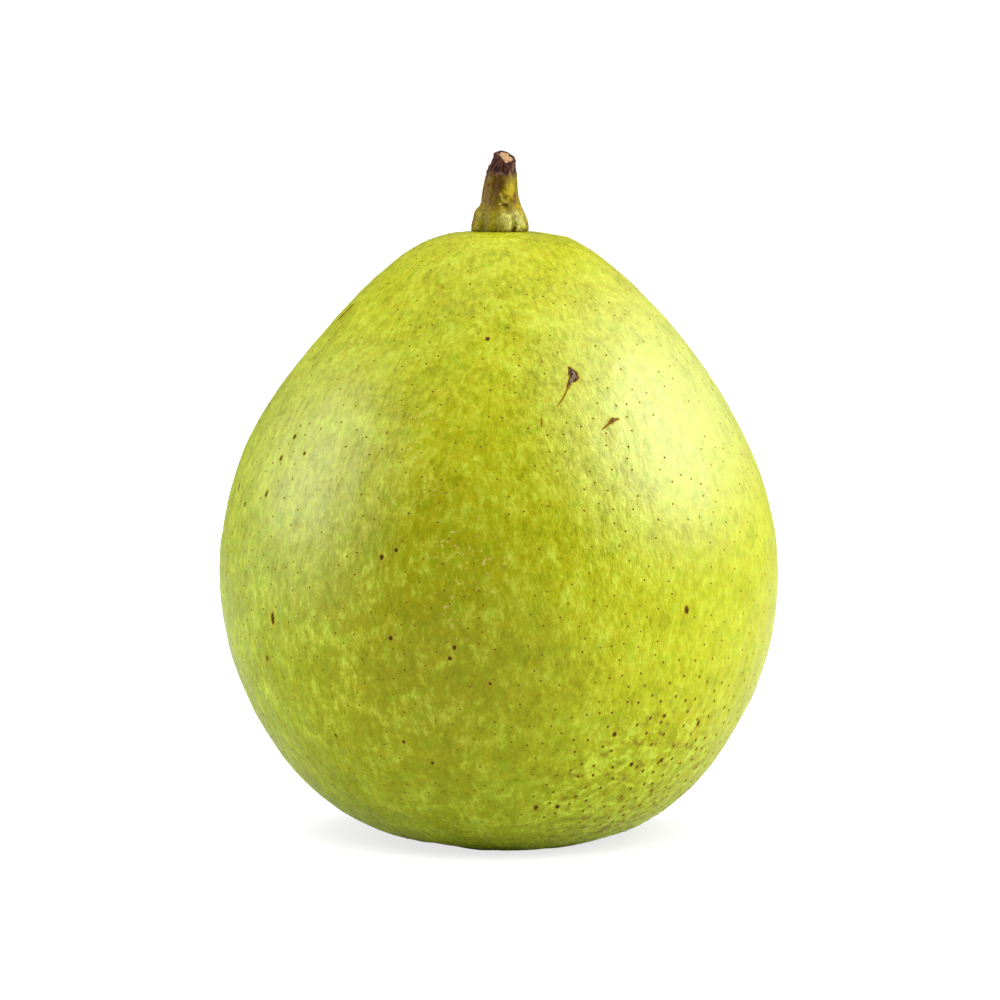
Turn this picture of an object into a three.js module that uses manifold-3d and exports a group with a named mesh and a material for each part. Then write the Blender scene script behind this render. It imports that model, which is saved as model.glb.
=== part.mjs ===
// A round dessert pear standing on its base: the fruit, its short woody stem and the dried calyx
// in the hollow underneath. Millimetres, +Z up. The origin is on the ground under the middle.

import * as THREE from 'three';
import { NURBSCurve } from 'three/addons/curves/NURBSCurve.js';
import { mergeVertices } from 'three/addons/utils/BufferGeometryUtils.js';
import Module from 'manifold-3d';

// Driving dimensions.
const FRUIT_WIDTH = 82;
const FRUIT_HEIGHT = 88;
const STEM_LENGTH = 12;
const FOOT_WIDTH = 8.6;
const GAP = 0.3;                // clearance kept between a piece and the fruit that it grows from

const R = FRUIT_WIDTH / 2;
const H = FRUIT_HEIGHT;
const GROUND = 0;
const FULL_TURN = 2 * Math.PI;
const FRONT = -Math.PI / 2;     // the azimuth of -Y, counted from +X

// Control points of the fruit's outline, from the floor of the hollow underneath, over the ring
// that it stands on, up its side and over the shoulder to the flat crown under the stem.
// Each is a share of R from the core line and a share of H above the ground.
const OUTLINE = [
  [0, 0.08], [0.12, 0.08], [0.19, 0.055], [0.225, -0.008], [0.315, -0.008], [0.57, 0.025],
  [0.812, 0.136], [0.976, 0.296], [1.018, 0.466], [0.929, 0.637], [0.732, 0.784], [0.468, 0.922],
  [0.25, 1.0], [0.12, 1.001], [0, 1.001],
];

// The core line sways sideways a little: a share of R, and the share of H where it is so.
const CORE_LINE = [
  [0.014, 0], [0.004, 0.06], [-0.002, 0.13], [0, 0.25], [-0.004, 0.5], [-0.011, 0.7], [0.002, 0.88],
];

// Furrows that part the lobes under the fruit: azimuth from the front and spread, in degrees, and depth.
const FURROWS = [
  { turn: -31, spread: 8, depth: 1.2 },
  { turn: -52, spread: 18, depth: 0.7 },
  { turn: 62, spread: 11, depth: 0.7 },
  { turn: 122, spread: 13, depth: 1.1 },
  { turn: 186, spread: 11, depth: 0.9 },
  { turn: 254, spread: 11, depth: 1.0 },
];
const FURROW_REACH = [0.1, 0.28, 0.5];   // shares of R where a furrow begins, is deepest and ends
const BACK_FLATTENING = 0.03;            // the fruit is this share of R less deep than wide

const FRUIT_SEGMENTS = 64;
const FRUIT_STEPS = 44;

const wasm = await Module();
wasm.setup();

function splineThrough(controlPoints) {
  const degree = 3;
  const inner = controlPoints.length - degree;
  const knots = [];
  for (let i = 0; i < controlPoints.length + degree + 1; i += 1) {
    knots.push(THREE.MathUtils.clamp((i - degree) / inner, 0, 1));
  }
  return new NURBSCurve(degree, knots, controlPoints.map(([x, y]) => new THREE.Vector4(x, y, 0, 1)));
}

function turnedSolid(profile, segments) {
  // LatheGeometry turns a profile about Y, from the bottom up; the pear stands along Z.
  const geometry = new THREE.LatheGeometry(profile, segments);
  geometry.rotateX(Math.PI / 2);
  return weld(geometry);
}

function weld(geometry) {
  geometry.deleteAttribute('normal');
  geometry.deleteAttribute('uv');
  return mergeVertices(geometry, 1e-3);
}

function moveVertices(geometry, move) {
  const place = geometry.getAttribute('position');
  const point = new THREE.Vector3();
  for (let i = 0; i < place.count; i += 1) {
    point.fromBufferAttribute(place, i);
    move(point);
    place.setXYZ(i, point.x, point.y, point.z);
  }
  geometry.computeVertexNormals();
  return geometry;
}

function grown(geometry, distance) {
  const copy = geometry.clone();
  const place = copy.getAttribute('position');
  const normal = copy.getAttribute('normal');
  for (let i = 0; i < place.count; i += 1) {
    place.setXYZ(
      i,
      place.getX(i) + distance * normal.getX(i),
      place.getY(i) + distance * normal.getY(i),
      place.getZ(i) + distance * normal.getZ(i),
    );
  }
  return copy;
}

function toSolid(geometry) {
  const merged = weld(geometry.clone());
  return new wasm.Manifold(new wasm.Mesh({
    numProp: 3,
    vertProperties: new Float32Array(merged.getAttribute('position').array),
    triVerts: new Uint32Array(merged.index.array),
  }));
}

function toGeometry(solid) {
  const mesh = solid.getMesh();
  const geometry = new THREE.BufferGeometry();
  geometry.setAttribute('position', new THREE.BufferAttribute(mesh.vertProperties, 3));
  geometry.setIndex(new THREE.BufferAttribute(mesh.triVerts, 1));
  geometry.computeVertexNormals();
  return geometry;
}

// The core line as a smooth curve of height against sideways sway.
const coreLine = new THREE.SplineCurve(CORE_LINE.map(([x, z]) => new THREE.Vector2(x * R, z * H)));

function sway(height) {
  const samples = coreLine.points;
  let i = 0;
  while (i < samples.length - 2 && samples[i + 1].y < height) i += 1;
  const share = THREE.MathUtils.clamp((height - samples[i].y) / (samples[i + 1].y - samples[i].y), 0, 1);
  return THREE.MathUtils.lerp(samples[i].x, samples[i + 1].x, share * share * (3 - 2 * share));
}

function furrowLift(azimuth, radius) {
  const [begins, deepest, ends] = FURROW_REACH.map((share) => share * R);
  const along = THREE.MathUtils.smoothstep(radius, begins, deepest)
    * (1 - THREE.MathUtils.smoothstep(radius, deepest, ends));
  let lift = 0;
  for (const { turn, spread, depth } of FURROWS) {
    const away = azimuth - FRONT - THREE.MathUtils.degToRad(turn);
    const shortest = Math.atan2(Math.sin(away), Math.cos(away));
    lift += depth * Math.exp(-((shortest / THREE.MathUtils.degToRad(spread)) ** 2));
  }
  return lift * along;
}

function shapeFruit(point) {
  const azimuth = Math.atan2(point.y, point.x);
  const radius = Math.hypot(point.x, point.y);
  const underside = 1 - THREE.MathUtils.smoothstep(point.z, 0.1 * H, 0.2 * H);
  const lifted = point.z + underside * furrowLift(azimuth, radius);
  point.y *= 1 - BACK_FLATTENING * Math.sin(azimuth) ** 2;
  point.x += sway(point.z);
  point.z = Math.max(lifted, GROUND);
}

function makeFruit() {
  const profile = splineThrough(OUTLINE.map(([x, z]) => [x * R, z * H]))
    .getPoints(FRUIT_STEPS)
    .map((point) => new THREE.Vector2(Math.max(point.x, 0), point.y));
  return moveVertices(turnedSolid(profile, FRUIT_SEGMENTS), shapeFruit);
}

// The stem: a fleshy foot with soft lobes, a waist, and a tapering shaft that ends in a slanting cut.
// Half-widths as shares of half the foot's width, against shares of the stem's length.
const STEM_OUTLINE = [
  [0, -0.2], [0.95, -0.2], [1.08, 0.02], [1.03, 0.16], [0.68, 0.27], [0.64, 0.42], [0.56, 0.6],
  [0.47, 0.76], [0.43, 0.88], [0.3, 1.02], [0.16, 1.06], [0, 1.06],
];
const STEM_SEGMENTS = 28;
const STEM_STEPS = 24;
const FOOT_FADES = [0.1, 0.35];          // shares of the length between which the lobes die away
const STEM_LEAN = 0.55;                  // how far the tip stands off to the right of the foot
const LEAN_GROWS = [0.3, 1.05];          // shares of the length between which it leans over
const FOOT_LOBES = [-150, -72, -15, 62, 135].map(THREE.MathUtils.degToRad);
const LOBE_SPREAD = THREE.MathUtils.degToRad(26);
const LOBE_DEPTH = 0.14;                 // a lobe stands this share proud of the valleys beside it
const CUT_SLOPE = new THREE.Vector2(-0.28, 0.3);   // the cut falls towards the right and the front
const CUT_HIGHEST = new THREE.Vector2(-0.8, 0.6);  // where the cut is as high as the stem is long

function lobeSwell(azimuth) {
  let swell = 0;
  for (const lobe of FOOT_LOBES) {
    const away = Math.atan2(Math.sin(azimuth - lobe), Math.cos(azimuth - lobe));
    swell += Math.exp(-((away / LOBE_SPREAD) ** 2));
  }
  return swell;
}

function shapeStem(point) {
  const share = (point.z - H) / STEM_LENGTH;
  const azimuth = Math.atan2(point.y, point.x);
  const foot = 1 - THREE.MathUtils.smoothstep(share, ...FOOT_FADES);
  const width = 1 + foot * LOBE_DEPTH * (lobeSwell(azimuth) - 1);
  point.x = point.x * width + STEM_LEAN * THREE.MathUtils.smoothstep(share, ...LEAN_GROWS);
  point.y *= width;
  const fromHighest = new THREE.Vector2(point.x, point.y).sub(CUT_HIGHEST);
  point.z = Math.min(point.z, H + STEM_LENGTH + CUT_SLOPE.dot(fromHighest));
}

function makeStem(fruitWithGap) {
  const half = FOOT_WIDTH / 2;
  const profile = splineThrough(STEM_OUTLINE.map(([x, z]) => [x * half, H + z * STEM_LENGTH]))
    .getPoints(STEM_STEPS)
    .map((point) => new THREE.Vector2(Math.max(point.x, 0), point.y));
  const shaft = moveVertices(turnedSolid(profile, STEM_SEGMENTS), shapeStem);
  return toGeometry(toSolid(shaft).subtract(fruitWithGap));
}

// The calyx: five dried, pointed sepals that stand round a small ring in the hollow underneath.
const SEPALS = 5;
const EYE_HEIGHT = 0.066 * H;            // the ring's underside, above the ground
const EYE_RADIUS = 2.6;
const RING_THICKNESS = 1.1;
const RING_SEGMENTS = 30;
// The ring's section, hollow in the middle: shares of EYE_RADIUS outwards and of RING_THICKNESS upwards.
const RING_OUTLINE = [[0, 0.35], [0.58, 0.25], [0.7, 0], [1, 0], [1.13, 0.5], [1, 1], [0, 1]];
const SEPAL = { length: 4.6, width: 2.6, thickness: 0.5, droop: THREE.MathUtils.degToRad(52) };
const SEPAL_BELLY = 0.55;                // shares of the length and of the width that steer a sepal's edge
const SEPAL_ROOT = 0.2 * RING_THICKNESS; // how high in the ring a sepal grows

function makeRing() {
  const profile = RING_OUTLINE.map(([x, z]) => new THREE.Vector2(x * EYE_RADIUS, z * RING_THICKNESS));
  const ring = turnedSolid(profile, RING_SEGMENTS);
  ring.translate(0, 0, EYE_HEIGHT);
  return toSolid(ring);
}

function makeSepal(turn) {
  const { length, width, thickness, droop } = SEPAL;
  const leaf = new THREE.Shape();
  leaf.moveTo(0, -0.5 * width);
  leaf.quadraticCurveTo(SEPAL_BELLY * length, -SEPAL_BELLY * width, length, 0);
  leaf.quadraticCurveTo(SEPAL_BELLY * length, SEPAL_BELLY * width, 0, 0.5 * width);
  leaf.closePath();
  const blade = new THREE.ExtrudeGeometry(leaf, { depth: thickness, bevelEnabled: false, curveSegments: 6 });
  blade.rotateY(droop);
  blade.translate(EYE_RADIUS - 0.5 * thickness, 0, EYE_HEIGHT + SEPAL_ROOT);
  blade.rotateZ(turn);
  return toSolid(blade);
}

function makeCalyx(fruitWithGap) {
  let calyx = makeRing();
  for (let i = 0; i < SEPALS; i += 1) {
    calyx = calyx.add(makeSepal(FRONT + (i * FULL_TURN) / SEPALS));
  }
  return toGeometry(calyx.subtract(fruitWithGap));
}

function piece(name, geometry, finish) {
  const mesh = new THREE.Mesh(geometry, new THREE.MeshStandardMaterial({ metalness: 0, ...finish }));
  mesh.name = name;
  return mesh;
}

const fruit = makeFruit();
const fruitWithGap = toSolid(grown(fruit, GAP));
const group = new THREE.Group();
group.add(
  piece('fruit', fruit, { color: 0xb4c832, roughness: 0.42 }),
  piece('stem', makeStem(fruitWithGap), { color: 0x6b5a2c, roughness: 0.75 }),
  piece('calyx', makeCalyx(fruitWithGap), { color: 0x4a3322, roughness: 0.9 }),
);

export default group;
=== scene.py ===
import math

import bmesh
import bpy
from mathutils import Matrix, Vector, noise


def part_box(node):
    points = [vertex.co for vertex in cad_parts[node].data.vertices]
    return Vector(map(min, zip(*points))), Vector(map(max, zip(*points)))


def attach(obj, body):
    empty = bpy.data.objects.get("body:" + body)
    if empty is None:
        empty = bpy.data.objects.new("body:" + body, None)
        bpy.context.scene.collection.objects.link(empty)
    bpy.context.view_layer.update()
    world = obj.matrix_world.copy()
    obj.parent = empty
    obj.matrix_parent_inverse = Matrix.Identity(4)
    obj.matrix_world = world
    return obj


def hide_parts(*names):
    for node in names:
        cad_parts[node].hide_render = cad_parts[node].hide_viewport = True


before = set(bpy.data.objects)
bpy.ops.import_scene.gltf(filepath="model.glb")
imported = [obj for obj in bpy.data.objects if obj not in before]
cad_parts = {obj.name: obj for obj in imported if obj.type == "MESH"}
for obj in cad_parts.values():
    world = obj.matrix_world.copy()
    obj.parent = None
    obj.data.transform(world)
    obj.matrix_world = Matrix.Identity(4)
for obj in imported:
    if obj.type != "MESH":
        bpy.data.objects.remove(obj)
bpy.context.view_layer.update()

# A round dessert pear. Metres, +Z up, -Y towards the front. Its sizes come from the frame's boxes.

MM = 0.001
FULL_TURN = 2 * math.pi
FRONT = math.radians(-90)

fruit_low, fruit_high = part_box("fruit")
stem_low, stem_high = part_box("stem")
calyx_low, calyx_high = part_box("calyx")
R = (fruit_high.x - fruit_low.x) / 2
H = fruit_high.z
STEM_LENGTH = stem_high.z - H


def level_vector(azimuth):
    return Vector((math.cos(azimuth), math.sin(azimuth), 0))


def outward(turn):
    """The level unit vector at a turn from the front, in degrees."""
    return level_vector(FRONT + math.radians(turn))


# ---- expressions that build nodes

class Value:
    """One output of a node. Arithmetic on it adds the Math or Vector Math node that it needs."""

    def __init__(self, graph, socket):
        self.graph = graph
        self.socket = socket

    def math(self, operation, *others):
        terms = (self, *others)
        vector = any(is_vector(term) for term in terms)
        kind = "ShaderNodeVectorMath" if vector else "ShaderNodeMath"
        made = self.graph.node(kind, {"operation": operation}, dict(enumerate(terms)))
        return made[1] if operation in ("LENGTH", "DOT_PRODUCT", "DISTANCE") else made[0]

    def __add__(self, other):
        return self.math("ADD", other)

    def __radd__(self, other):
        return self.math("ADD", other)

    def __sub__(self, other):
        return self.math("SUBTRACT", other)

    def __rsub__(self, other):
        return (self * -1).math("ADD", other)

    def __mul__(self, other):
        return self.math("MULTIPLY", other)

    def __rmul__(self, other):
        return self.math("MULTIPLY", other)

    def __truediv__(self, other):
        return self.math("DIVIDE", other)

    def least(self, other):
        return self.math("MINIMUM", other)

    def most(self, other):
        return self.math("MAXIMUM", other)

    def part(self, axis):
        """The x, y or z of a vector."""
        return self.graph.node("ShaderNodeSeparateXYZ", {}, {0: self})["XYZ".index(axis)]

    def smooth(self, low, high):
        """0 below low, 1 above high, with a soft step between them. It falls where low is above high."""
        settings = {"interpolation_type": "SMOOTHSTEP"}
        return self.graph.node("ShaderNodeMapRange", settings, {0: self, 1: low, 2: high})[0]

    def ramp(self, low, high):
        """0 below low, 1 above high, straight between them."""
        return self.graph.node("ShaderNodeMapRange", {"clamp": True}, {0: self, 1: low, 2: high})[0]


def is_vector(term):
    if isinstance(term, Value):
        return term.socket.type == "VECTOR"
    return isinstance(term, (tuple, Vector))


class Made:
    """A node that was made. Its outputs are read by index or by name."""

    def __init__(self, graph, node):
        self.graph = graph
        self.node = node

    def __getitem__(self, key):
        return Value(self.graph, find_socket(self.node.outputs, key))


def find_socket(sockets, key):
    if isinstance(key, int):
        return sockets[key]
    exact = [socket for socket in sockets if socket.identifier == key]
    named = [socket for socket in sockets if socket.name == key and socket.enabled]
    return (exact or named)[0]


class Graph:
    """A node tree that is being built."""

    def __init__(self, tree):
        self.tree = tree

    def node(self, kind, settings, sockets):
        """Adds a node. Settings are set first, then each socket gets its value or link."""
        node = self.tree.nodes.new(kind)
        for name, setting in settings.items():
            setattr(node, name, setting)
        for key, term in sockets.items():
            socket = find_socket(node.inputs, key)
            if isinstance(term, Value):
                self.tree.links.new(term.socket, socket)
            elif term is not None:
                socket.default_value = fit(term, socket)
        return Made(self, node)


def fit(term, socket):
    """A plain number or tuple in the form that a socket's default takes."""
    if socket.type == "VECTOR" and not isinstance(term, (tuple, Vector)):
        return (term, term, term)
    if socket.type == "RGBA" and len(term) == 3:
        return (*term, 1)
    return term


# ---- geometry trees and plain meshes

SOCKETS = {
    float: "NodeSocketFloat",
    int: "NodeSocketInt",
    "object": "NodeSocketObject",
    "material": "NodeSocketMaterial",
}


class Tree(Graph):
    """A geometry tree with named inputs. Its first input and its output are the geometry."""

    def __init__(self, name, kinds):
        super().__init__(bpy.data.node_groups.new(name, "GeometryNodeTree"))
        face = self.tree.interface
        face.new_socket("Geometry", in_out="INPUT", socket_type="NodeSocketGeometry")
        face.new_socket("Geometry", in_out="OUTPUT", socket_type="NodeSocketGeometry")
        for label, kind in kinds.items():
            face.new_socket(label, in_out="INPUT", socket_type=SOCKETS[kind])
        self.given = self.node("NodeGroupInput", {}, {})

    def position(self):
        return self.node("GeometryNodeInputPosition", {}, {})[0]

    def normal(self):
        return self.node("GeometryNodeInputNormal", {}, {})[0]

    def noise(self, place, size, detail=0.0, seed_shift=0.0):
        """Soft noise from about -0.5 to 0.5 whose lumps are about size across."""
        moved = place + (seed_shift, 2 * seed_shift, -seed_shift)
        sockets = {"Vector": moved, "Scale": 1 / size, "Detail": detail}
        return self.node("ShaderNodeTexNoise", {}, sockets)[0] - 0.5

    def xyz(self, x=None, y=None, z=None):
        """A vector from its parts. A part that isn't given is 0."""
        return self.node("ShaderNodeCombineXYZ", {}, {0: x, 1: y, 2: z})[0]

    def random_value(self, seed):
        """A number from 0 to 1 for each point."""
        return self.node("FunctionNodeRandomValue", {"data_type": "FLOAT"}, {"Seed": seed})["Value"]

    def attribute(self, name, kind="FLOAT"):
        settings = {"data_type": kind}
        return self.node("GeometryNodeInputNamedAttribute", settings, {"Name": name})["Attribute"]

    def keep(self, geometry, kind, name, value):
        """Stores a value on each point of a geometry under a name, for later nodes and for the material."""
        return self.node("GeometryNodeStoreNamedAttribute", {"data_type": kind}, {
            "Geometry": geometry, "Name": name, "Value": value,
        })[0]

    def nearest(self, surface, field):
        """A vector field's value at the nearest place of a surface."""
        return self.node("GeometryNodeSampleNearestSurface", {"data_type": "FLOAT_VECTOR"}, {
            "Mesh": surface, "Value": field, "Sample Position": self.position(),
        })["Value"]

    def move(self, geometry, to=None, by=None):
        """Moves the points of a geometry to new places, or by an offset."""
        sockets = {"Geometry": geometry, "Position": to, "Offset": by}
        return self.node("GeometryNodeSetPosition", {}, sockets)[0]

    def join(self, first, second):
        joined = self.node("GeometryNodeJoinGeometry", {}, {0: first})
        self.tree.links.new(second.socket, joined.node.inputs[0])
        return joined[0]

    def shade_smooth(self, geometry):
        return self.node("GeometryNodeSetShadeSmooth", {}, {"Geometry": geometry})[0]

    def finish(self, geometry, material):
        """Realizes what is instanced, sets the material and closes the tree."""
        real = self.node("GeometryNodeRealizeInstances", {}, {0: geometry})[0]
        painted = self.node("GeometryNodeSetMaterial", {}, {"Geometry": real, "Material": material})[0]
        self.node("NodeGroupOutput", {}, {0: painted})
        return self.tree


def grow(name, base, tree, sizes):
    """Runs a geometry tree on an object and returns the result as a plain mesh object of that name."""
    modifier = base.modifiers.new("grow", "NODES")
    modifier.node_group = tree
    for item in tree.interface.items_tree:
        if item.in_out == "INPUT" and item.name in sizes:
            modifier[item.identifier] = sizes[item.name]
    evaluated = base.evaluated_get(bpy.context.evaluated_depsgraph_get())
    mesh = bpy.data.meshes.new_from_object(evaluated)
    mesh.name = name
    base.modifiers.remove(modifier)
    return add_object(name, mesh)


def add_object(name, data):
    made = bpy.data.objects.new(name, data)
    bpy.context.scene.collection.objects.link(made)
    return made


def discard(*helpers):
    for helper in helpers:
        bpy.data.objects.remove(helper)


def store(mesh, name, values):
    """Stores a value on each point of a plain mesh under a name."""
    mesh.attributes.new(name, "FLOAT", "POINT").data.foreach_set("value", values)


SAME_PLACE = 0.001 * MM     # corners that lie closer than this are one


def sewn(name, meshes):
    """One closed mesh from several: doubles merged, ends filled and faces turned outwards."""
    whole = bmesh.new()
    for mesh in meshes:
        whole.from_mesh(mesh)
    bmesh.ops.remove_doubles(whole, verts=whole.verts, dist=SAME_PLACE)
    bmesh.ops.holes_fill(whole, edges=whole.edges)
    bmesh.ops.recalc_face_normals(whole, faces=whole.faces)
    joined = bpy.data.meshes.new(name)
    whole.to_mesh(joined)
    whole.free()
    return joined


def outline_curve(name, points):
    """A smooth curve in the XZ plane that control points steer, from the first of them to the last."""
    curve = bpy.data.curves.new(name, "CURVE")
    curve.dimensions = "3D"
    spline = curve.splines.new("NURBS")
    spline.points.add(len(points) - 1)
    for control, (x, z) in zip(spline.points, points):
        control.co = (x, 0, z, 1)
    spline.order_u = 4
    spline.use_endpoint_u = True
    spline.resolution_u = 32
    return add_object(name, curve)


# ---- the fruit's shape

# The outline's control points, from the floor of the hollow underneath, over the ring that the fruit
# stands on, up its side and over the shoulder to the flat crown under the stem: shares of R and of H.
OUTLINE = (
    (0, 0.08), (0.12, 0.08), (0.19, 0.055), (0.225, -0.008), (0.315, -0.008), (0.57, 0.025),
    (0.812, 0.136), (0.976, 0.296), (1.018, 0.466), (0.929, 0.637), (0.732, 0.784), (0.468, 0.922),
    (0.25, 1.0), (0.12, 1.001), (0, 1.001),
)

# Where the core line sways to, sideways: a share of R at a share of H.
CORE_LINE = (
    (0.014, 0), (0.004, 0.06), (-0.002, 0.13), (0, 0.25), (-0.004, 0.5), (-0.011, 0.7), (0.002, 0.88),
)

# Furrows between the lobes underneath: azimuth from the front and spread in degrees, and depth.
FURROWS = (
    (-31, 8, 1.2 * MM), (-52, 18, 0.7 * MM), (62, 11, 0.7 * MM),
    (122, 13, 1.1 * MM), (186, 11, 0.9 * MM), (254, 11, 1.0 * MM),
)
FURROW_BEGINS, FURROW_DEEPEST, FURROW_ENDS = 0.1 * R, 0.28 * R, 0.5 * R
FURROW_FULL, FURROW_TOP = 0.1 * H, 0.2 * H      # the furrows are full up to here, and gone above here
DEPTH_SHARE = 0.97          # the fruit is a little less deep than wide
GRAIN_LENGTH = 2.4 * R      # the outline's length in the grain, kept short so that marks stretch along it
FRUIT_AROUND, FRUIT_ALONG = 401, 226
# How wide the skin's lumps, ripples, pores and streaks are.
LUMP, RIPPLE, PORE, STREAK = 26 * MM, 7 * MM, 1.9 * MM, 3 * MM


def sway_at(height):
    """How far the core line stands off sideways at a height."""
    sway = CORE_LINE[0][0] * R
    for (x0, z0), (x1, z1) in zip(CORE_LINE, CORE_LINE[1:]):
        sway = height.smooth(z0 * H, z1 * H) * ((x1 - x0) * R) + sway
    return sway


def furrow_lift(toward, radius):
    """How far the skin is lifted into the furrows. Toward is the unit vector of the azimuth."""
    lift = 0
    for turn, spread, depth in FURROWS:
        cosine = toward.math("DOT_PRODUCT", outward(turn)).least(1)
        away = cosine.math("ARCCOSINE") / math.radians(spread)
        lift = (away * away * -1).math("EXPONENT") * depth + lift
    along = radius.smooth(FURROW_BEGINS, FURROW_DEEPEST) * radius.smooth(FURROW_ENDS, FURROW_DEEPEST)
    return lift * along


def fruit_tree(material):
    """Turns the outline about the core line, and gives the skin its lobes, lumps and pores."""
    tree = Tree("turned_fruit", {
        "Around": int, "Along": int, "Lumps": float, "Ripples": float, "Pores": float, "Streaks": float,
    })
    given = tree.given
    grid = tree.node("GeometryNodeMeshGrid", {}, {
        "Size X": 1.0, "Size Y": 1.0, "Vertices X": given["Around"], "Vertices Y": given["Along"],
    })
    share = tree.position() + (0.5, 0.5, 0)
    azimuth = share.part("X") * FULL_TURN
    sampled = tree.node(
        "GeometryNodeSampleCurve", {"mode": "FACTOR", "use_all_curves": True},
        {"Curves": given["Geometry"], "Factor": share.part("Y")},
    )["Position"]
    radius, height = sampled.part("X"), sampled.part("Z")
    toward = tree.xyz(azimuth.math("COSINE"), azimuth.math("SINE"))
    lift = furrow_lift(toward, radius) * height.smooth(FURROW_TOP, FURROW_FULL)
    flat = toward * (1, DEPTH_SHARE, 0) * radius
    place = tree.xyz(flat.part("X") + sway_at(height), flat.part("Y"), height + lift)
    grain = toward * (radius * R).math("SQRT") + tree.xyz(z=share.part("Y") * GRAIN_LENGTH)
    turned = tree.move(tree.keep(grid["Mesh"], "FLOAT_VECTOR", "grain", grain), to=place)
    sockets = {"Geometry": turned, "Distance": 2 * SAME_PLACE}
    closed = tree.node("GeometryNodeMergeByDistance", {}, sockets)[0]

    at = tree.position()
    lumps = tree.noise(at, LUMP, 1.0) * given["Lumps"]
    ripples = tree.noise(at, RIPPLE, 1.0, 0.3) * given["Ripples"]
    pores = tree.noise(at, PORE, 0.0, 0.7) * given["Pores"]
    streaks = tree.noise(at * (1, 1, 0.35), STREAK, 0.0, 1.1) * given["Streaks"]
    rough = tree.move(closed, by=tree.normal() * (lumps + ripples + pores + streaks))
    stood = tree.move(rough, to=tree.position().math("MAXIMUM", (-1, -1, 0)))
    return tree.finish(tree.shade_smooth(stood), material)


def make_fruit(material):
    outline = outline_curve("fruit_outline", [(x * R, z * H) for x, z in OUTLINE])
    fruit = grow("pear_fruit", outline, fruit_tree(material), {
        "Around": FRUIT_AROUND, "Along": FRUIT_ALONG,
        "Lumps": 0.7 * MM, "Ripples": 0.25 * MM, "Pores": 0.13 * MM, "Streaks": 0.2 * MM,
    })
    discard(outline)
    return fruit


# ---- what sits in the skin

# Marks listed one by one. Each place is a turn from the front, in degrees, and a height, in millimetres.
# Dark spots: turn, height, radius, and how much longer they are along the grain than across it.
SPOTS = (
    (-52, 35, 0.42, 2.2), (-56, 29, 0.3, 1.5), (-22, 34, 0.32, 1.1),
    (-9, 33, 0.3, 1.1), (-10, 31.5, 0.3, 1.0), (-2, 28, 0.26, 1.1),
    (-21, 46, 0.3, 1.0), (-24, 45, 0.32, 1.2), (40, 37, 0.4, 1.5),
    (26, 20, 0.34, 1.2), (-22, 19, 0.24, 1.3), (-39.5, 19, 0.22, 1.5),
    (-16, 16, 0.24, 1.2), (-4, 74, 0.34, 1.0), (38, 22, 0.3, 1.1),
    (42, 15, 0.3, 1.4), (50, 20, 0.3, 1.8), (33, 15, 0.3, 1.4),
    (10, 9, 0.3, 1.6), (-55, 60, 0.3, 1.3), (-57, 57, 0.3, 1.4),
    (-49, 58, 0.26, 1.0), (-74, 52, 0.34, 2.4), (-58, 52, 0.3, 1.8),
    (-67, 50, 0.3, 1.4), (48, 6, 0.3, 1.6), (16, 9, 0.34, 1.2),
    (110, 60, 0.36, 1.4), (150, 38, 0.4, 1.2), (200, 52, 0.42, 1.6),
    (235, 30, 0.36, 1.3), (170, 70, 0.3, 1.2),
)

# Healed scratches: the places that each runs through, and its half width at each of them.
SCRATCHES = (
    (((19.9, 70.3), (20.6, 69.5), (20.7, 68.8), (19.3, 68.2), (18, 67.2), (16.4, 66.1), (14.2, 64.9)),
     (0.16, 0.55, 0.72, 0.4, 0.13, 0.09, 0.05)),
    (((30.6, 63.2), (29, 63.1), (28.2, 63), (26.6, 62.4), (24.8, 61.8)), (0.07, 0.25, 0.32, 0.13, 0.06)),
    (((10.2, 63.6), (10.1, 63), (10, 62.4)), (0.05, 0.11, 0.05)),
    (((-73, 78), (-74, 77), (-75.4, 75.6)), (0.08, 0.14, 0.06)),
    (((140, 66), (143, 64.5), (147, 64)), (0.08, 0.26, 0.08)),
)
THICK_SCRATCH = 0.6 * MM    # half the width of a scratch that has healed into grey flakes
SCRATCH_STEPS, SCRATCH_COLUMNS = 60, 13

# Where the dots crowd, low on the side that faced the sun, and how many places are tried on a square metre.
CROWDED = (0.55 * R, -0.6 * R, 0.14 * H)
DOT_PLACES = 3.0e5
DOT_CORNERS, DOT_RINGS = 9, 3

# How far a mark's own mesh runs past it, as a share of its size, how it domes, and how deep its rim sinks.
RIM = 1.9
DOME = 0.03 * MM
SINK = 0.004 * MM


def surface_at(body, turn, height):
    """The point of the skin, and its normal, at a turn from the front in degrees and at a height."""
    hit, point, normal, face = body.ray_cast(Vector((0, 0, height)), outward(turn))
    return point, normal


def spots_object(body):
    """A helper whose points are the places of the dark spots, each with its size and stretch."""
    mesh = bpy.data.meshes.new("spots")
    turns, heights, sizes, stretches = zip(*SPOTS)
    places = [surface_at(body, turn, height * MM)[0] for turn, height in zip(turns, heights)]
    mesh.from_pydata(places, [], [])
    store(mesh, "size", [size * MM for size in sizes])
    store(mesh, "stretch", stretches)
    return add_object("spots", mesh)


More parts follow.
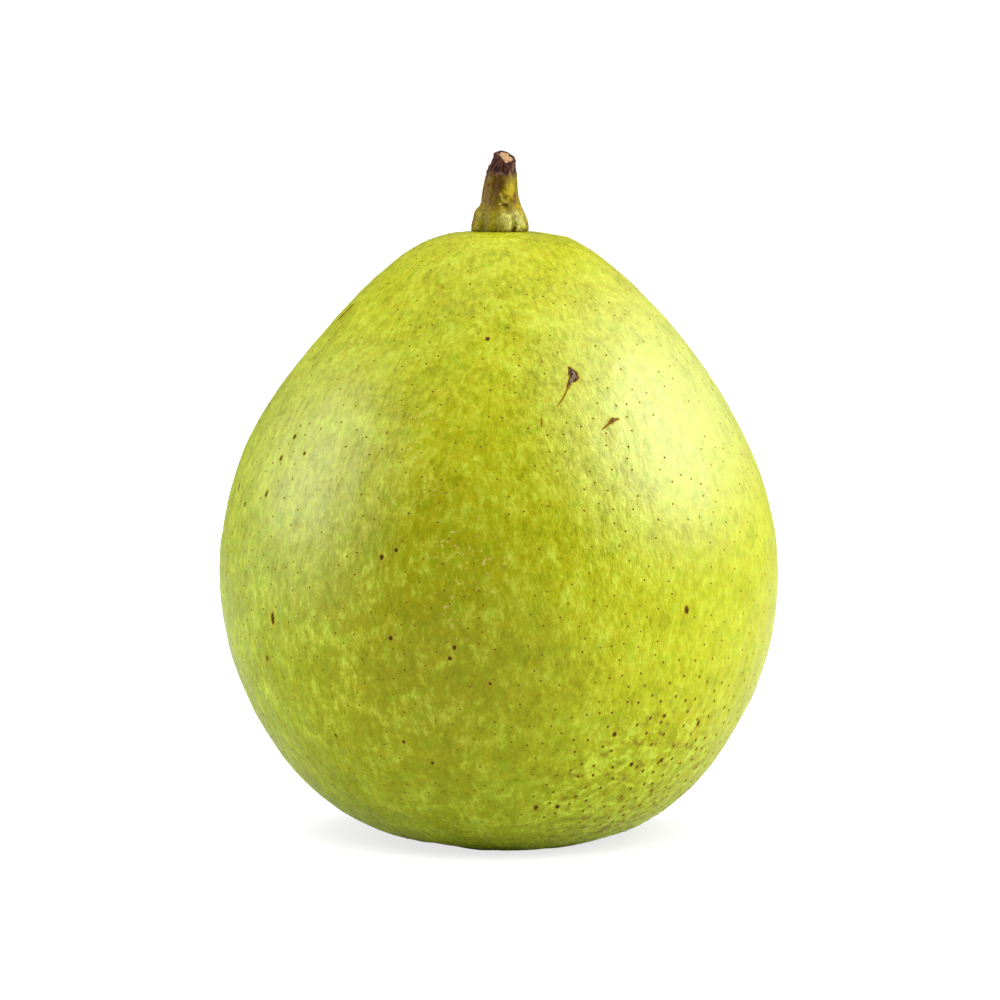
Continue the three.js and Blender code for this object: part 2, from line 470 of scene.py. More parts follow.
def dots_tree(material):
    """Corky dots scattered over the skin: low domes with a rim that lies flush, each of its own shade."""
    tree = Tree("corky_dots", {
        "Spots": "object", "Apart": float, "Smallest": float, "Largest": float,
        "Rise": float, "Seed": int,
    })
    given = tree.given
    skin = given["Geometry"]
    at = tree.position()
    russeted = (at - CROWDED).math("LENGTH").smooth(0.62 * R, 0.2 * R)
    shy = tree.noise(at, 12 * MM, 1.0, 0.4).smooth(-0.3, 0.15)
    off_floor = at.part("Z").smooth(0.5 * MM, 3 * MM)
    scattered = tree.node("GeometryNodeDistributePointsOnFaces", {"distribute_method": "POISSON"}, {
        "Mesh": skin, "Distance Min": given["Apart"], "Density Max": DOT_PLACES, "Seed": given["Seed"],
        "Density Factor": (shy * 0.6 + 0.18 + russeted * 0.5).least(1) * off_floor,
    })["Points"]
    chance = tree.random_value(1)
    size = chance * chance * chance * (given["Largest"] - given["Smallest"]) + given["Smallest"]
    sized = tree.keep(scattered, "FLOAT", "size", size * (russeted * 0.5 + 1))
    sized = tree.keep(sized, "FLOAT", "stretch", tree.random_value(2) * 0.5 + 1 + russeted * 0.5)
    marks = tree.node("GeometryNodeObjectInfo", {}, {"Object": given["Spots"]})["Geometry"]
    marks = tree.node("GeometryNodeMeshToPoints", {}, {"Mesh": marks})[0]
    places = tree.keep(tree.join(sized, marks), "FLOAT", "shade", tree.random_value(3))

    out = tree.nearest(skin, tree.normal())
    upright = tree.node("FunctionNodeAlignRotationToVector", {"axis": "Z"}, {"Vector": out})[0]
    upright = tree.node("FunctionNodeAlignRotationToVector", {"axis": "Y", "pivot_axis": "Z"}, {
        "Rotation": upright, "Vector": (0, 0, 1),
    })[0]
    disc = tree.node("GeometryNodeMeshCone", {"fill_type": "NONE"}, {
        "Vertices": DOT_CORNERS, "Side Segments": DOT_RINGS,
        "Radius Top": 0.0, "Radius Bottom": 1.0, "Depth": 0.0,
    })["Mesh"]
    disc = tree.keep(disc, "FLOAT", "reach", tree.position().math("LENGTH"))
    across = tree.attribute("size") * RIM
    set_in = tree.node("GeometryNodeInstanceOnPoints", {}, {
        "Points": places, "Instance": disc, "Rotation": upright,
        "Scale": tree.xyz(across, across * tree.attribute("stretch"), across),
    })[0]
    real = tree.node("GeometryNodeRealizeInstances", {}, {0: set_in})[0]
    return tree.finish(lay_on(tree, skin, real, given["Rise"]), material)


def lay_on(tree, skin, marks, rise):
    """Lays marks on the skin. They rise where their reach is under 1 / RIM, and sink in at the rim."""
    reach = tree.attribute("reach")
    height = reach.smooth(1 / RIM, 0) * rise + (1 - reach) * DOME - SINK
    place = tree.nearest(skin, tree.position()) + tree.nearest(skin, tree.normal()) * height
    grain = tree.nearest(skin, tree.attribute("grain", "FLOAT_VECTOR"))
    return tree.shade_smooth(tree.keep(tree.move(marks, to=place), "FLOAT_VECTOR", "grain", grain))


def make_dots(body, material):
    spots = spots_object(body)
    made = grow("corky_dots", body, dots_tree(material), {
        "Spots": spots, "Apart": 1.65 * MM, "Smallest": 0.125 * MM, "Largest": 0.32 * MM,
        "Rise": 0.05 * MM, "Seed": 7,
    })
    discard(spots)
    return made


def bent(rows, share):
    """The values at a share on a smooth line through rows. Each row is its share and then its values."""
    last = len(rows) - 1
    start = max(index for index in range(last) if index == 0 or rows[index][0] <= share)
    low, high = rows[start], rows[start + 1]
    before, after = rows[max(start - 1, 0)], rows[min(start + 2, last)]
    length = high[0] - low[0]
    t = (share - low[0]) / length
    values = []
    for a, b, c, d in zip(before[1:], low[1:], high[1:], after[1:]):
        leave = (c - a) / (high[0] - before[0]) * length
        arrive = (d - b) / (after[0] - low[0]) * length
        values.append(
            b * (2 * t ** 3 - 3 * t ** 2 + 1) + leave * (t ** 3 - 2 * t ** 2 + t)
            + c * (3 * t ** 2 - 2 * t ** 3) + arrive * (t ** 3 - t ** 2)
        )
    return values


def sheet_mesh(name, rows, looped):
    """A mesh of quads between rows of points. Looped rows close on themselves."""
    across = len(rows[0])
    faces = []
    for row in range(len(rows) - 1):
        for column in range(across if looped else across - 1):
            beside = (column + 1) % across
            low, high = row * across, (row + 1) * across
            faces.append((low + column, low + beside, high + beside, high + column))
    mesh = bpy.data.meshes.new(name)
    mesh.from_pydata([point for row in rows for point in row], [], faces)
    return mesh


def scratch_ribbon(body, places, halves):
    """A ribbon near the skin along one scratch, and its points' reach from the middle and thickness."""
    last = len(places) - 1
    rows = [(index / last, turn, height * MM, half * MM * RIM)
            for index, ((turn, height), half) in enumerate(zip(places, halves))]
    points, reaches, thick = [], [], []
    for step in range(SCRATCH_STEPS + 1):
        share = step / SCRATCH_STEPS
        turn, height, half = bent(rows, share)
        ahead, rise, _ = bent(rows, min(share + 0.02, 1))
        back, drop, _ = bent(rows, max(share - 0.02, 0))
        middle, normal = surface_at(body, turn, height)
        along = surface_at(body, ahead, rise)[0] - surface_at(body, back, drop)[0]
        side = normal.cross(along).normalized()
        end = max(0, 1 - min(share, 1 - share) / 0.04)
        row = [column / (SCRATCH_COLUMNS - 1) * 2 - 1 for column in range(SCRATCH_COLUMNS)]
        wobble = 1 + 0.5 * noise.noise(middle / (0.5 * MM))
        points.append([middle + side * (place * half * wobble) for place in row])
        reaches += [max(abs(place), end) for place in row]
        thick += [half / RIM / THICK_SCRATCH] * SCRATCH_COLUMNS
    return points, {"reach": reaches, "thick": thick}


def scratches_tree(material):
    tree = Tree("scratches", {"Skin": "object", "Rise": float})
    skin = tree.node("GeometryNodeObjectInfo", {}, {"Object": tree.given["Skin"]})["Geometry"]
    crinkle = tree.noise(tree.position(), 0.35 * MM, 2.0) * 1.4 + 1
    marks = tree.node("GeometryNodeFlipFaces", {}, {0: tree.given["Geometry"]})[0]
    return tree.finish(lay_on(tree, skin, marks, crinkle * tree.given["Rise"]), material)


def make_scratches(body, material):
    """All the scratches as one piece."""
    helpers = []
    for places, halves in SCRATCHES:
        rows, kept = scratch_ribbon(body, places, halves)
        mesh = sheet_mesh("scratch", rows, False)
        for name, values in kept.items():
            store(mesh, name, values)
        helpers.append(add_object("scratch", mesh))
    with bpy.context.temp_override(active_object=helpers[0], selected_editable_objects=helpers):
        bpy.ops.object.join()
    sizes = {"Skin": body, "Rise": 0.1 * MM}
    made = grow("healed_scratches", helpers[0], scratches_tree(material), sizes)
    discard(helpers[0])
    return made


# ---- the stem

FOOT = (stem_high.x - stem_low.x) / 2

# The stem's outline: a share of its length above the fruit, then, as shares of FOOT, half its width
# and how far its middle stands to the right.
STEM_OUTLINE = (
    (-0.2, 0.9, 0), (-0.04, 0.97, 0), (0.04, 1.0, 0), (0.14, 0.97, 0), (0.22, 0.87, 0), (0.28, 0.78, 0),
    (0.34, 0.69, 0.01), (0.42, 0.64, 0), (0.52, 0.585, 0), (0.62, 0.55, 0.035), (0.72, 0.51, 0.045),
    (0.82, 0.45, 0.09), (0.89, 0.405, 0.11), (0.945, 0.3, 0.08), (0.98, 0.175, 0.04), (1.0, 0, 0.03),
)
STEM_AROUND, STEM_ALONG = 180, 200
STEM_DEPTH_SHARE = 0.97
FOOT_FADES = (0.12, 0.28)       # the shares of the length over which the fleshy foot gives way to bark
TIP_DRIES = (0.62, 0.75)        # and over which the bark turns dry and crumpled
RIB, CRUMPLE, GRIT, HEAVE = 0.9 * MM, 1.0 * MM, 0.3 * MM, 2 * MM

# Clefts between the lobes of the foot: turn from the front and spread in degrees, and depth.
CLEFTS = (
    (-36, 9, 0.28 * MM), (27, 5, 0.5 * MM), (86, 10, 0.34 * MM), (150, 8, 0.44 * MM),
    (205, 11, 0.3 * MM), (268, 8, 0.36 * MM),
)

# Swellings and dents of the stem: turn and spread in degrees, share of the length, and then, in
# millimetres, spread and height, which is below 0 for a dent.
DENTS = (
    (24, 26, 0.55, 1.7, 0.22), (16, 12, 0.41, 0.4, -0.3),
    (34, 10, 0.385, 0.35, -0.34), (14, 9, 0.315, 0.35, -0.4),
    (-47, 12, 0.57, 0.25, -0.2), (54, 9, 0.44, 0.5, -0.22),
    (-72, 20, 0.26, 0.7, 0.25), (4, 18, 0.2, 1.0, 0.2),
    (58, 18, 0.12, 0.9, 0.22), (62, 8, 0.17, 0.3, -0.2),
    (-20, 10, 0.6, 1.8, -0.14), (120, 20, 0.5, 1.5, 0.2),
    (190, 14, 0.45, 0.5, -0.3), (-120, 22, 0.62, 1.2, 0.2),
)

# The slanted cut at the tip: the way it faces, and how much of the tip it takes off.
CUT_FACING = Vector((0.17, -0.8, 0.57)).normalized()
CUT_DEPTH = 0.3 * MM


def step_between(low, high, value):
    """0 at low, 1 at high, with a soft step between them, for plain numbers."""
    share = min(max((value - low) / (high - low), 0), 1)
    return share * share * (3 - 2 * share)


def turned_away(turn, other):
    """How far one turn is from another, in degrees, the short way round."""
    return (turn - other + 180) % 360 - 180


def bell(*offsets):
    """1 where the offsets are 0, falling to 0 as they pass 1."""
    return math.exp(-sum(offset * offset for offset in offsets))


def bark_point(turn, share):
    """A point of the stem's bark, and how deep it lies in a fold, where the bark's colour is darkened as
    painted shade.
    """
    half, lean = bent(STEM_OUTLINE, share)
    foot = 1 - step_between(*FOOT_FADES, share)
    dry = step_between(*TIP_DRIES, share)
    toward = outward(turn)
    radius = half * FOOT
    place = toward * radius + Vector((0, 0, share * STEM_LENGTH))
    radius -= foot * sum(depth * bell(turned_away(turn, at) / spread) for at, spread, depth in CLEFTS)
    for at, spread, height, reach, rise in DENTS:
        along = (height - share) * STEM_LENGTH / (reach * MM)
        radius += rise * MM * bell(turned_away(turn, at) / spread, along)
    stretched = Vector((place.x, place.y, 0.3 * place.z))
    ribs = noise.noise(stretched / RIB) * (0.1 + 0.1 * dry) * MM
    crumple = abs(noise.noise(place / CRUMPLE)) - 0.25
    grit = noise.noise(place / GRIT) * 0.035 * MM
    heave = foot * noise.noise(place / HEAVE) * 0.2 * MM
    radius += (ribs + (0.06 + 0.42 * dry) * MM * crumple + grit) * min(1, half * 4)
    point = toward * radius + Vector((lean * FOOT, 0, share * STEM_LENGTH + heave))
    point.y *= STEM_DEPTH_SHARE
    return point + Vector((0, 0, H)), step_between(0.02, -0.2, crumple)


def cut_off(point, level):
    """The point moved down onto the cut where it stands over it, and how much it is part of the cut."""
    over = point.dot(CUT_FACING) - level
    lip = 0.1 * MM * bell((over + 0.16 * MM) / (0.12 * MM))
    hollow = max(over, 0) * (1 + 0.3 * noise.noise(point / (0.5 * MM)))
    return point + CUT_FACING * (lip - hollow), step_between(-0.06 * MM, 0.05 * MM, over)


def make_stem(material):
    """The stem: a stout woody stalk with a lobed fleshy foot, and a slanted cut at its dry tip."""
    lowest, highest = STEM_OUTLINE[0][0], STEM_OUTLINE[-1][0]
    points, fold_shades = [], []
    for step in range(STEM_ALONG + 1):
        share = lowest + (highest - lowest) * math.sin(step / STEM_ALONG * math.pi / 2)
        for column in range(STEM_AROUND):
            point, fold_shade = bark_point(360 * column / STEM_AROUND, share)
            points.append(point)
            fold_shades.append(fold_shade)
    level = max(point.dot(CUT_FACING) for point in points) - CUT_DEPTH
    points, cuts = zip(*(cut_off(point, level) for point in points))
    rows = [points[start:start + STEM_AROUND] for start in range(0, len(points), STEM_AROUND)]
    sheet = sheet_mesh("bark", rows, True)
    store(sheet, "fold_shade", fold_shades)
    store(sheet, "cut", cuts)
    mesh = sewn("pear_stem", [sheet])
    mesh.shade_smooth()
    mesh.materials.append(material)
    return add_object("pear_stem", mesh)


# ---- the dried flower underneath

RING_REACH = 0.5 * (calyx_high.x - calyx_low.x) / 2     # the ring's radius; the sepals reach twice as far
RING_HEIGHT = calyx_high.z - 0.5 * MM                   # where the ring's middle lies
RING_THICK = 0.6 * MM
SEPAL_LENGTH = 4.9 * MM
SEPAL_HALF = 1.35 * MM
SEPAL_THICK = 0.16 * MM
SEPAL_ROWS, SEPAL_COLUMNS = 26, 24
RING_ROWS, RING_COLUMNS = 12, 60
STAMEN_SIDES, STAMEN_BEAD = 5, 2.4      # a bead is this many times as thick as its thread
# Each sepal's extra turn and how far it curls, in degrees, and its share of the full length.
SEPAL_HABITS = ((4, 95, 1.0), (-5, 60, 0.92), (8, 120, 0.86), (-3, 80, 1.04), (2, 40, 0.9))


def sepal_rows(turn, curl, size):
    """Rows of points round one withered sepal, from its root in the ring to its curled tip."""
    out = level_vector(math.radians(turn))
    side = Vector((-out.y, out.x, 0))
    middle = out * (0.75 * RING_REACH) + Vector((0, 0, RING_HEIGHT))
    rows = []
    for row in range(SEPAL_ROWS + 1):
        share = row / SEPAL_ROWS
        droop = math.radians(25 + curl * share)
        along = out * math.cos(droop) - Vector((0, 0, math.sin(droop)))
        middle = middle + along * (SEPAL_LENGTH * size / SEPAL_ROWS)
        up = side.cross(along)
        half = SEPAL_HALF * size * (0.75 + 0.6 * share) * (1 - share ** 3)
        points = []
        for column in range(SEPAL_COLUMNS):
            angle = FULL_TURN * column / SEPAL_COLUMNS
            across, thick = math.cos(angle), math.sin(angle) * SEPAL_THICK
            crumple = noise.noise((middle + side * (across * half)) / (0.8 * MM)) * 0.45 * MM * share
            trough = 0.35 * half * across * across
            points.append(middle + side * (across * half) - up * (thick + crumple + trough))
        rows.append(points)
    return rows


def ring_rows():
    """Rows of points over the lumpy ring that the sepals grow from, and over the floor inside it."""
    floor = Vector((0, 0, RING_HEIGHT + 0.2 * MM))
    rows = [[floor] * RING_COLUMNS]
    for row in range(RING_ROWS + 1):
        angle = math.pi + 0.75 * FULL_TURN * row / RING_ROWS
        points = []
        for column in range(RING_COLUMNS):
            out = level_vector(FULL_TURN * column / RING_COLUMNS)
            thick = RING_THICK * (1 + 0.5 * noise.noise(out * 3))
            place = out * (RING_REACH + thick * math.cos(angle))
            points.append(place + Vector((0, 0, RING_HEIGHT + 0.9 * thick * math.sin(angle))))
        rows.append(points)
    rows.append([floor + Vector((0, 0, 0.3 * MM))] * RING_COLUMNS)
    return rows


def stamens_tree(material):
    """Joins a crown of dried stamens, each with its own lean and length, to the ring and its sepals."""
    tree = Tree("dried_stamens", {
        "Count": int, "Circle": float, "Length": float, "Thickness": float, "Seed": int,
    })
    given = tree.given
    length = given["Length"]
    circle = tree.node("GeometryNodeMeshCircle", {}, {
        "Vertices": given["Count"], "Radius": given["Circle"],
    })[0]
    crown = tree.move(circle, by=(0, 0, RING_HEIGHT))
    tip = tree.xyz(x=length * 0.1, z=length * -1)
    thread = tree.node("GeometryNodeCurveQuadraticBezier", {}, {
        "Resolution": STAMEN_SIDES, "Start": (0, 0, 0), "End": tip,
        "Middle": tree.xyz(x=length * 0.25, z=length * -0.5),
    })[0]
    round_section = tree.node("GeometryNodeCurvePrimitiveCircle", {}, {
        "Resolution": STAMEN_SIDES, "Radius": given["Thickness"],
    })["Curve"]
    stalk = tree.node("GeometryNodeCurveToMesh", {}, {
        "Curve": thread, "Profile Curve": round_section, "Fill Caps": True,
    })[0]
    bead = tree.node("GeometryNodeMeshIcoSphere", {}, {
        "Radius": given["Thickness"] * STAMEN_BEAD, "Subdivisions": 1,
    })["Mesh"]
    bead = tree.node("GeometryNodeTransform", {}, {"Geometry": bead, "Translation": tip})[0]
    lean = tree.node("FunctionNodeRandomValue", {"data_type": "FLOAT_VECTOR"}, {
        0: (-0.45, -0.45, 0), 1: (0.45, 0.45, FULL_TURN), "Seed": given["Seed"],
    })["Value"]
    standing = tree.node("GeometryNodeInstanceOnPoints", {}, {
        "Points": crown, "Instance": tree.join(stalk, bead), "Rotation": lean,
        "Scale": tree.random_value(5) * 0.5 + 0.7,
    })[0]
    return tree.finish(tree.shade_smooth(tree.join(given["Geometry"], standing)), material)


def make_calyx(material):
    """The dried remains of the flower in the hollow underneath: a ring, five sepals and the stamens."""
    meshes = [sheet_mesh("ring", ring_rows(), True)]
    for index, (extra, curl, size) in enumerate(SEPAL_HABITS):
        turn = 90 + 360 * index / len(SEPAL_HABITS) + extra
        meshes.append(sheet_mesh("sepal", sepal_rows(turn, curl, size), True))
    helper = add_object("withered", sewn("withered", meshes))
    made = grow("dried_calyx", helper, stamens_tree(material), {
        "Count": 21, "Circle": 1.5 * MM, "Length": 2.8 * MM, "Thickness": 0.07 * MM, "Seed": 3,
    })
    discard(helper)
    return made


# ---- colours

def srgb(red, green, blue):
    """A colour given in the 0 to 255 steps that a screen shows, as the linear numbers that nodes take."""
    shares = [step / 255 for step in (red, green, blue)]
    return tuple(s / 12.92 if s <= 0.04045 else ((s + 0.055) / 1.055) ** 2.4 for s in shares)


class Paint(Graph):
    """A material that is being mixed."""

    def __init__(self, name):
        self.material = bpy.data.materials.new(name)
        self.material.use_nodes = True
        super().__init__(self.material.node_tree)
        self.tree.nodes.clear()

    def place(self):
        """Where a point of the piece is, in metres."""
        return self.node("ShaderNodeTexCoord", {}, {})["Object"]

    def grain(self):
        """Where a point lies on the unrolled skin: stretched along the lines from base to stem."""
        return self.node("ShaderNodeAttribute", {"attribute_name": "grain"}, {})["Vector"]

    def read(self, name):
        """A number that is kept on the piece's points under a name."""
        return self.node("ShaderNodeAttribute", {"attribute_name": name}, {})["Fac"]

    def noise(self, place, size, detail=2.0, shift=0.0, roughness=0.5):
        """Soft noise from 0 to 1 whose lumps are about size across."""
        moved = place + (shift, -shift, 2 * shift)
        sockets = {"Vector": moved, "Scale": 1 / size, "Detail": detail, "Roughness": roughness}
        return self.node("ShaderNodeTexNoise", {}, sockets)[0]

    def mix(self, mask, under, over):
        """The under colour where the mask is 0 and the over colour where it is 1."""
        sockets = {"Factor_Float": mask, "A_Color": under, "B_Color": over}
        return self.node("ShaderNodeMix", {"data_type": "RGBA"}, sockets)["Result_Color"]

    def bump(self, height, depth, under=None):
        """A normal bent by a height from 0 to 1 that stands for depth metres."""
        return self.node("ShaderNodeBump", {}, {"Height": height, "Distance": depth, "Normal": under})[0]

    def finish(self, sockets):
        shader = self.node("ShaderNodeBsdfPrincipled", {}, sockets)[0]
        self.node("ShaderNodeOutputMaterial", {}, {"Surface": shader})
        return self.material


# The skin's tones, as linear numbers.
# An olive tone, partly painted shade low at the front.
OLIVE_SHADE = (0.39, 0.37, 0.002)
YELLOW = (0.60, 0.61, 0.012)
LEAF = (0.375, 0.47, 0.003)
PALE = (0.73, 0.87, 0.08)
# Pale wax bloom, partly a painted highlight.
BLOOM_AND_SHEEN = (0.84, 0.92, 0.38)
DEEP = (0.27, 0.28, 0.001)
WARM = (0.53, 0.47, 0.006)
GREEN = (0.33, 0.47, 0.004)
RUSSET = (0.22, 0.11, 0.008)
TAN = (0.78, 0.67, 0.16)
DOT = (0.055, 0.036, 0.0)
HALO = (0.54, 0.40, 0.04)
SCAR = srgb(136, 80, 8)
SCAR_EDGE = srgb(74, 46, 22)
# Grey flakes of a thick scratch, partly painted glints.
SCAR_FLAKE_AND_GLINT = srgb(146, 122, 100)

# Regions of the skin: the middle of each and its reach, sideways, deep and up, in shares of R, R and H.
# An olive tone low at the front, partly painted shade.
PAINTED_SHADE = ((-0.28, -0.9, 0.37), (0.74, 0.9, 0.55))
# Where the wax blooms. Its pale colour there is partly a painted highlight, most of all on the shaded side.
SUNNY_WAX_AND_SHEEN = ((0.72, -0.6, 0.78), (0.75, 1.2, 0.36))
SHADED_WAX_AND_SHEEN = ((-0.7, -0.6, 0.64), (0.5, 0.8, 0.34))
NETTED = ((0.5, -0.6, 0.12), (0.6, 0.6, 0.24))
CORKY_HIGH = ((-0.26, -0.9, 0.68), (0.12, 0.4, 0.12))
CORKY_LOW = ((-0.1, -0.97, 0.49), (0.2, 0.4, 0.17))


def blob(at, centre, reach):
    """1 at a centre, falling softly to 0 at the reach. The reach has one number for each axis."""
    away = (at - centre).math("DIVIDE", reach).math("LENGTH")
    return away.smooth(1, 0)


def in_region(at, region):
    """1 in the middle of a region of the skin, falling softly to 0 at its edge."""
    centre, reach = [(x * R, y * R, z * H) for x, y, z in region]
    return blob(at, centre, reach)


class Skin:
    """The skin's finish at a point: its colour, its wax, whose pale colour is partly a painted highlight,
    its roughness and its normal.
    """

    def __init__(self, paint):
        self.paint = paint
        self.at = paint.place()
        self.grain = paint.grain()
        self.colour = self.ripeness()
        self.add_mottle()
        self.add_russet()
        self.add_relief()

    def ripeness(self):
        """Yellow at the shoulder that faced the sun and green below, with an olive tone low at the front
        that is partly painted shade, and pale where wax has bloomed, which is partly a painted highlight.
        """
        paint, at = self.paint, self.at
        sunward = at.math("DOT_PRODUCT", (0.32 / R, 0, 0.75 / H)) + paint.noise(at, 30 * MM, 2.0) * 0.8
        colour = paint.mix(sunward.smooth(0.35, 1.2), LEAF, YELLOW)
        # Olive tone that is partly painted shade, low at the front.
        colour = paint.mix(in_region(at, PAINTED_SHADE) * 0.9, colour, OLIVE_SHADE)
        # Wax bloom, partly a painted highlight on both sides.
        self.wax_and_sheen = in_region(at, SUNNY_WAX_AND_SHEEN).most(in_region(at, SHADED_WAX_AND_SHEEN) * 0.45)
        return paint.mix(self.wax_and_sheen * 0.35, colour, BLOOM_AND_SHEEN)

    def add_mottle(self):
        """Pale flecks, deep green between them, both fainter to the sun, and warm and leafy patches."""
        paint, at, grain = self.paint, self.at, self.grain
        patches = paint.noise(at, 5 * MM, 2.0, 0.4, 0.6)
        flecks = paint.noise(grain * (1, 1, 0.88), 1.1 * MM, 4.0, 0.7, 0.8)
        calm = at.part("X").smooth(0.1 * R, 0.8 * R) * 0.3
        self.level = ((patches - 0.5) * 0.55 + (flecks - 0.5) * 1.2) * (1 - calm)
        colour = paint.mix(self.level.ramp(0.0, 0.34), self.colour, PALE)
        colour = paint.mix(self.level.ramp(0.0, -0.31), colour, DEEP)
        hue = paint.noise(at, 2.2 * MM, 4.0, 0.3, 0.75)
        colour = paint.mix(hue.ramp(0.52, 0.9), colour, WARM)
        colour = paint.mix(hue.ramp(0.5, 0.16), colour, GREEN)
        # The pale wax bloom again, partly a painted highlight.
        self.colour = paint.mix(self.wax_and_sheen * 0.35, colour, BLOOM_AND_SHEEN)

    def add_russet(self):
        """Fine brown netting low on the sunny side, and pale corky specks at the front."""
        paint, at, grain = self.paint, self.at, self.grain
        netted = in_region(at, NETTED).smooth(0.05, 0.6)
        streaks = paint.noise(grain * (0.5, 0.5, 1), 0.95 * MM, 2.0, 1.3, 0.6)
        self.colour = paint.mix(streaks.smooth(0.47, 0.36) * netted * 0.6, self.colour, PALE)
        self.colour = paint.mix(streaks.smooth(0.56, 0.68) * netted * 0.6, self.colour, RUSSET)
        specks = paint.noise(at, 0.55 * MM, 1.0, 2.1).smooth(0.6, 0.68)
        wisps = paint.noise(at, 4 * MM, 2.0, 2.6).smooth(0.42, 0.62)
        corky = in_region(at, CORKY_HIGH).most(in_region(at, CORKY_LOW)).smooth(0.0, 0.5)
        self.colour = paint.mix(specks * wisps * corky * 0.75, self.colour, TAN)

    def add_relief(self):
        """Dimples that stretch along the grain, with the flecks standing a little proud of them."""
        paint = self.paint
        peel = paint.noise(self.grain * (1, 1, 0.9), 1.5 * MM, 3.0, 0.2, 0.65)
        self.normal = paint.bump(peel, 0.4 * MM)
        self.normal = paint.bump(self.level, 0.05 * MM, self.normal)
        self.roughness = self.level * 0.3 + 0.32


def mix_skin(paint):
    """The fruit's skin: a soft sheen, with a clear coat where the wax has bloomed, where its pale colour is
    partly a painted highlight.
    """
    skin = Skin(paint)
    return paint.finish({
        "Base Color": skin.colour, "Roughness": skin.roughness, "Normal": skin.normal,
        "Specular IOR Level": 0.15, "Coat Weight": skin.wax_and_sheen * 0.5 + 0.02, "Coat Roughness": 0.3,
    })


def mix_dots(paint):
    """The corky dots: dark in the middle, then a rusty or pale halo that runs out into the skin."""
    skin = Skin(paint)
    reach = paint.read("reach")
    shade = paint.read("shade")
    ragged = reach + (paint.noise(skin.at, 0.22 * MM, 1.0) - 0.5) * 0.5
    rusty = shade.ramp(0.35, 0.1).most(shade.ramp(0.7, 0.95))
    colour = paint.mix(ragged.smooth(1.0, 0.5) * rusty * 0.85, skin.colour, HALO)
    pale = shade.ramp(0.15, 0.4) * shade.ramp(0.9, 0.65)
    colour = paint.mix(ragged.smooth(0.95, 0.65) * pale * 0.6, colour, PALE)
    dark = shade.ramp(0.95, 0.8) * 0.7 + 0.25
    colour = paint.mix(ragged.smooth(0.62, 0.42) * dark, colour, DOT)
    return paint.finish({
        "Base Color": colour, "Roughness": 0.6, "Normal": skin.normal, "Specular IOR Level": 0.06,
    })


def mix_scratches(paint):
    """Healed scratches: thin ones are red brown, and thick ones have a dark edge round grey flakes that are
    partly painted glints.
    """
    skin = Skin(paint)
    reach = paint.read("reach")
    thick = paint.read("thick").smooth(0.25, 0.7)
    ragged = reach + (paint.noise(skin.at, 0.3 * MM, 2.0) - 0.5) * 0.45
    colour = paint.mix(ragged.smooth(0.95, 0.55) * 0.55, skin.colour, HALO)
    colour = paint.mix(ragged.smooth(0.68, 0.42) * 0.9, colour, SCAR)
    colour = paint.mix(ragged.smooth(0.58, 0.42) * thick, colour, SCAR_EDGE)
    # Grey flakes, partly painted glints.
    flakes_and_sheen = paint.noise(skin.at, 0.4 * MM, 2.0, 0.6).smooth(0.4, 0.56)
    colour = paint.mix(ragged.smooth(0.46, 0.3) * flakes_and_sheen * thick * 0.9, colour, SCAR_FLAKE_AND_GLINT)
    return paint.finish({
        "Base Color": colour, "Roughness": 0.7, "Normal": skin.normal, "Specular IOR Level": 0.06,
    })


# The stem's tones.
FLESH = srgb(150, 126, 12)
FOOT_FLESH = srgb(172, 162, 36)
MOSS = srgb(108, 98, 14)
LIME = srgb(180, 160, 16)
MINT = srgb(218, 212, 104)
BARK = srgb(126, 95, 38)
UMBER = srgb(92, 62, 10)
TEAK = srgb(112, 86, 18)
PLUM = srgb(82, 48, 32)
# Grey bark flakes, partly a painted sheen.
ASH_AND_SHEEN = srgb(142, 112, 92)
RUST = srgb(118, 66, 8)
# Near black, for dark patches and for the painted shade in the folds.
PITCH = srgb(46, 25, 10)
PULP = srgb(214, 172, 126)
TORN_PULP = srgb(146, 100, 64)
# Dark olive painted shade where the stem meets the fruit.
CREASE_SHADE = srgb(82, 70, 6)

# Patches of the stem's colour: turn from the front in degrees, share of the length, how far it reaches
# across and up in millimetres, tone and strength.
STEM_PATCHES = (
    (-60, 0.5, 1.9, 4.2, BARK, 0.95), (-20, 0.4, 1.6, 2.2, TEAK, 0.8),
    (-8, 0.6, 1.9, 2.8, UMBER, 0.9),
    (-70, 0.34, 1.2, 1.2, LIME, 0.4), (36, 0.5, 1.5, 2.2, LIME, 1.0),
    (60, 0.28, 1.6, 1.8, LIME, 0.9), (-75, 0.14, 1.6, 2.0, BARK, 0.8),
    (16, 0.15, 2.2, 2.2, MINT, 1.0), (44, 0.16, 2.2, 2.4, MINT, 0.9),
    (-34, 0.12, 1.5, 1.6, MOSS, 0.6), (2, 0.08, 0.9, 0.6, RUST, 0.4),
    (28, 0.03, 0.8, 0.7, RUST, 0.95), (55, 0.445, 0.6, 0.7, RUST, 1.0),
    (50, 0.375, 0.5, 0.9, RUST, 0.6), (-47, 0.57, 0.6, 0.4, RUST, 0.9),
    (14, 0.335, 0.75, 0.4, PITCH, 0.85), (0, 0.35, 0.4, 0.3, MINT, 0.9),
    (20, 0.42, 0.5, 0.6, MOSS, 0.7), (-68, 0.66, 0.35, 1.1, PITCH, 0.8),
    (62, 0.1, 0.5, 0.5, MOSS, 0.7), (120, 0.5, 2.0, 2.5, BARK, 0.7),
    (180, 0.25, 2.0, 2.0, LIME, 0.7), (-140, 0.4, 1.8, 2.4, MOSS, 0.6),
)

# The pale lip of a fold in the bark: places it runs through, each a turn and a share of the length.
LIP = ((2, 0.465), (4, 0.44), (8, 0.415), (14, 0.395), (21, 0.382), (28, 0.38), (35, 0.39))
LIP_HALF = 0.3              # half the lip's width, in millimetres
LIP_PATCHES = tuple((turn, up, LIP_HALF, LIP_HALF, MINT, 0.55) for turn, up in LIP)
SMALL_PATCH = 0.8           # patches that reach less far than this keep a crisper shape


